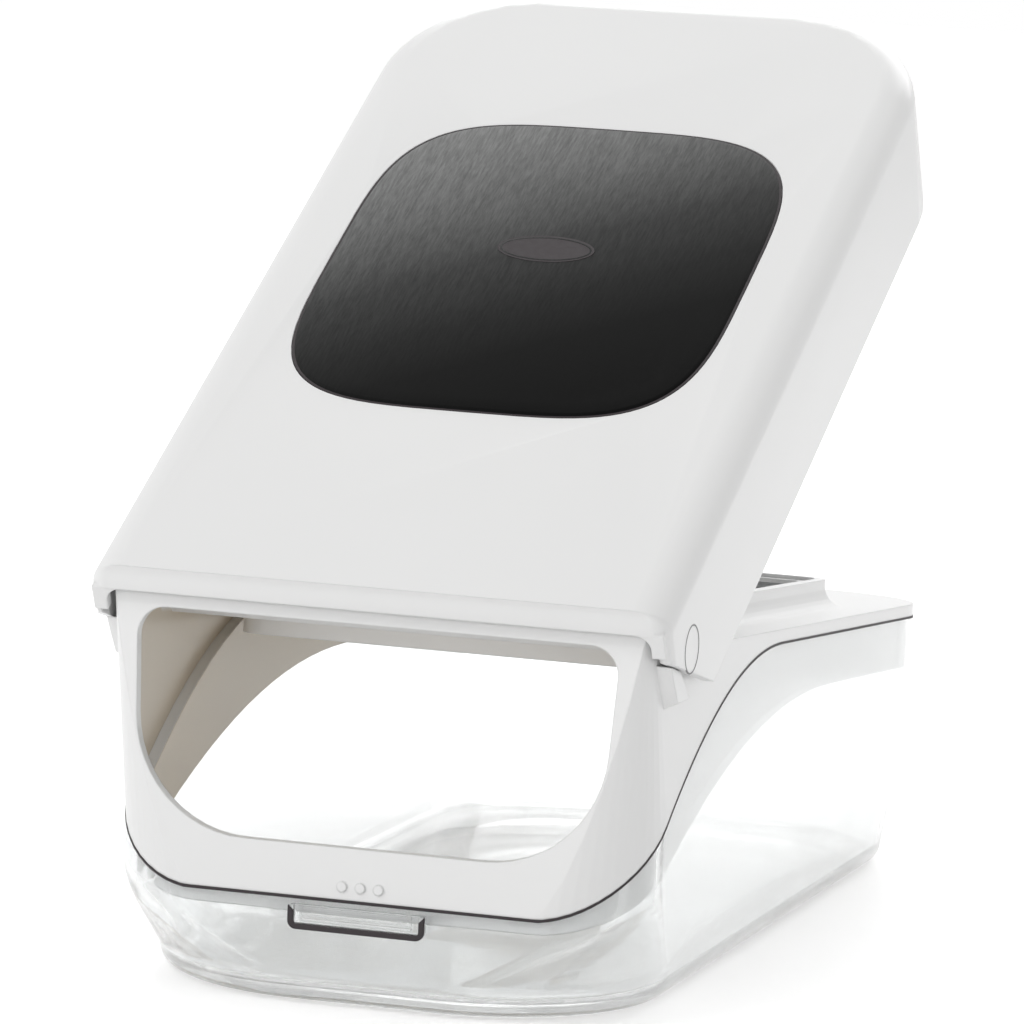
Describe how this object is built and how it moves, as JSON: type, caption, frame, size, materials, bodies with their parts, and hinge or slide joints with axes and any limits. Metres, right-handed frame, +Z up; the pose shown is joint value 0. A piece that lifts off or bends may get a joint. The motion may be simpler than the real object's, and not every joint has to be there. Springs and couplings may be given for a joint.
{
  "type": "vegetable chopper",
  "caption": "White vegetable chopper with a clear container, pour opening, blade grid and a hinged pressing lid standing open.",
  "frame": {"origin": "centre of the container's flat base", "axes": "+X to the right seen from the pour opening, +Y towards the back, +Z up"},
  "size_m": [0.1248, 0.2508, 0.1953],
  "materials": {
    "white_plastic": "satin",
    "clear_plastic": "clear polished",
    "black_soft_pad": "brushed soft touch",
    "blade_steel": "ground"
  },
  "bodies": {
    "container": {"container": "clear_plastic"},
    "chopper": {"body_shell": "white_plastic", "blade_frame": "white_plastic", "blade_long_1": "blade_steel", "blade_long_2": "blade_steel", "blade_long_3": "blade_steel", "blade_long_4": "blade_steel", "blade_long_5": "blade_steel", "blade_cross_1": "blade_steel", "blade_cross_2": "blade_steel", "blade_cross_3": "blade_steel", "blade_cross_4": "blade_steel", "blade_cross_5": "blade_steel", "blade_cross_6": "blade_steel", "blade_cross_7": "blade_steel", "blade_cross_8": "blade_steel", "blade_cross_9": "blade_steel"},
    "lid": {"lid_shell": "white_plastic", "lid_pad": "black_soft_pad", "pusher_grid": "white_plastic", "pusher_screw_1": "blade_steel", "pusher_screw_2": "blade_steel", "pusher_screw_3": "blade_steel", "pusher_screw_4": "blade_steel"}
  },
  "joints": [
    {"name": "body_lift", "type": "slide", "parent": "container", "child": "chopper", "axis": [0, 0, 1], "range_m": [0, 0.08]},
    {"name": "lid_hinge", "type": "hinge", "parent": "chopper", "child": "lid", "pos_m": [0, -0.1044, 0.0777], "axis": [1, 0, 0], "range_deg": [-28, 0]}
  ]
}
